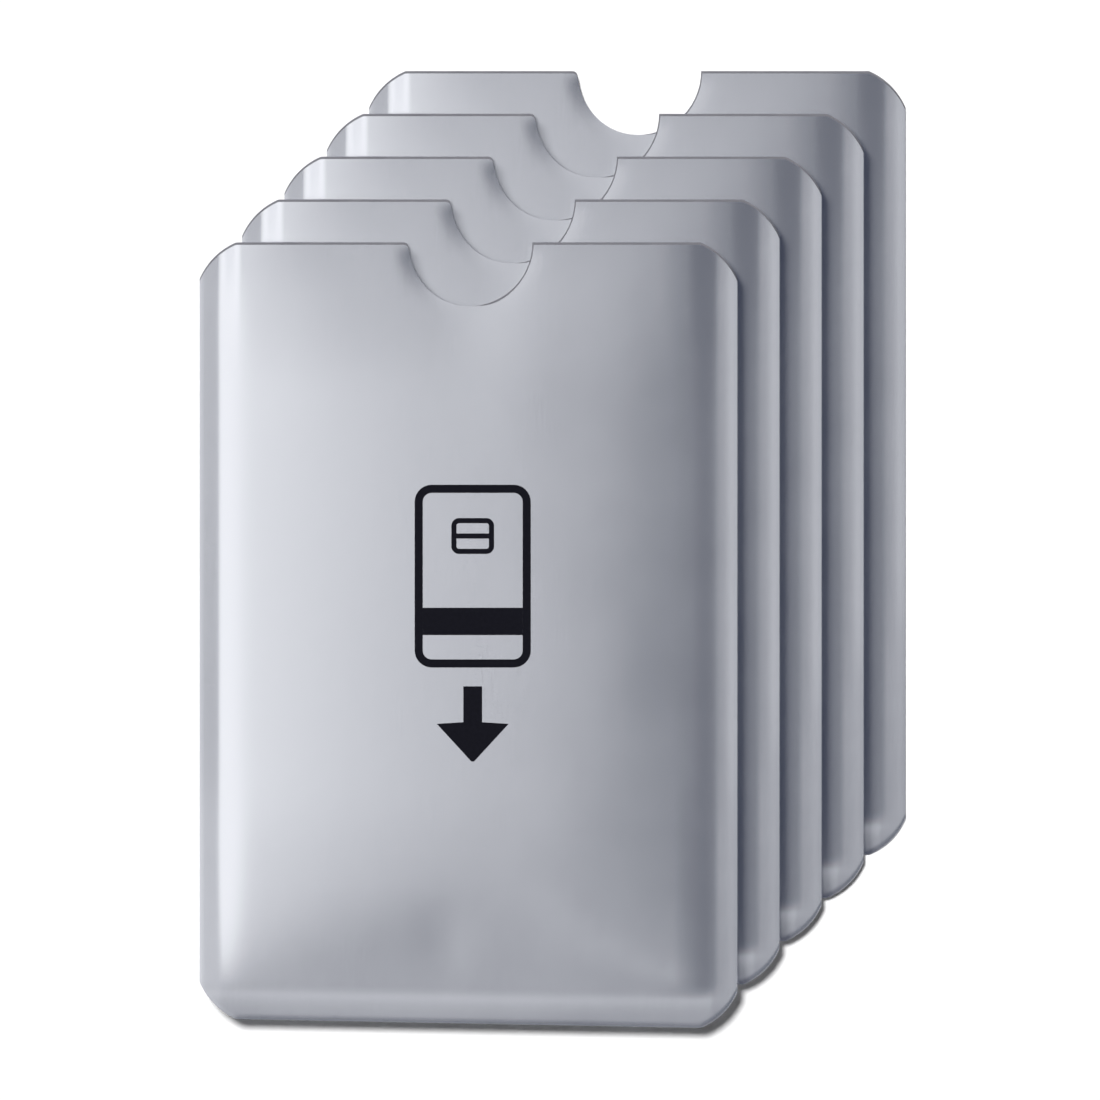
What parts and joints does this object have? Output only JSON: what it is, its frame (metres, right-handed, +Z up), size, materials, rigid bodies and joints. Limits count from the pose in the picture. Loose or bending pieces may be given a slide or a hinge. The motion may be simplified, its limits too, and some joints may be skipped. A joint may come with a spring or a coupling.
{
  "type": "rfid card sleeve",
  "caption": "Foil card sleeves lying in a fan: flat laminate pouches sealed on three sides, each with a raised pocket for one card and a thumb notch in its open end.",
  "frame": {"origin": "centre of the fan's outline, on the surface that the lowest sleeve lies on", "axes": "+X across the sleeves, +Y towards their open mouths, +Z up through the stack"},
  "size_m": [0.0828, 0.1124, 0.0089],
  "materials": {
    "silver_film": "satin metallised",
    "shield_foil": "bright",
    "sealant_liner": "matt translucent over foil",
    "heat_seal": "matt"
  },
  "bodies": {
    "sleeve_1": {"sleeve_1_front_film": "silver_film", "sleeve_1_front_foil": "shield_foil", "sleeve_1_front_liner": "sealant_liner", "sleeve_1_rear_liner": "sealant_liner", "sleeve_1_rear_foil": "shield_foil", "sleeve_1_rear_film": "silver_film", "sleeve_1_left_seal": "heat_seal", "sleeve_1_right_seal": "heat_seal", "sleeve_1_foot_seal": "heat_seal"},
    "sleeve_2": {"sleeve_2_front_film": "silver_film", "sleeve_2_front_foil": "shield_foil", "sleeve_2_front_liner": "sealant_liner", "sleeve_2_rear_liner": "sealant_liner", "sleeve_2_rear_foil": "shield_foil", "sleeve_2_rear_film": "silver_film", "sleeve_2_left_seal": "heat_seal", "sleeve_2_right_seal": "heat_seal", "sleeve_2_foot_seal": "heat_seal"},
    "sleeve_3": {"sleeve_3_front_film": "silver_film", "sleeve_3_front_foil": "shield_foil", "sleeve_3_front_liner": "sealant_liner", "sleeve_3_rear_liner": "sealant_liner", "sleeve_3_rear_foil": "shield_foil", "sleeve_3_rear_film": "silver_film", "sleeve_3_left_seal": "heat_seal", "sleeve_3_right_seal": "heat_seal", "sleeve_3_foot_seal": "heat_seal"},
    "sleeve_4": {"sleeve_4_front_film": "silver_film", "sleeve_4_front_foil": "shield_foil", "sleeve_4_front_liner": "sealant_liner", "sleeve_4_rear_liner": "sealant_liner", "sleeve_4_rear_foil": "shield_foil", "sleeve_4_rear_film": "silver_film", "sleeve_4_left_seal": "heat_seal", "sleeve_4_right_seal": "heat_seal", "sleeve_4_foot_seal": "heat_seal"},
    "sleeve_5": {"sleeve_5_front_film": "silver_film", "sleeve_5_front_foil": "shield_foil", "sleeve_5_front_liner": "sealant_liner", "sleeve_5_rear_liner": "sealant_liner", "sleeve_5_rear_foil": "shield_foil", "sleeve_5_rear_film": "silver_film", "sleeve_5_left_seal": "heat_seal", "sleeve_5_right_seal": "heat_seal", "sleeve_5_foot_seal": "heat_seal"}
  },
  "joints": [
    {"name": "sleeve_1_slide", "type": "slide", "parent": "sleeve_5", "child": "sleeve_1", "axis": [-0.7, -0.7141, 0], "range_m": [-0.02829, 0.06371]},
    {"name": "sleeve_2_slide", "type": "slide", "parent": "sleeve_5", "child": "sleeve_2", "axis": [-0.7, -0.7141, 0], "range_m": [-0.02121, 0.07079]},
    {"name": "sleeve_3_slide", "type": "slide", "parent": "sleeve_5", "child": "sleeve_3", "axis": [-0.7, -0.7141, 0], "range_m": [-0.01414, 0.07786]},
    {"name": "sleeve_4_slide", "type": "slide", "parent": "sleeve_5", "child": "sleeve_4", "axis": [-0.7, -0.7141, 0], "range_m": [-0.00707, 0.08493]}
  ]
}
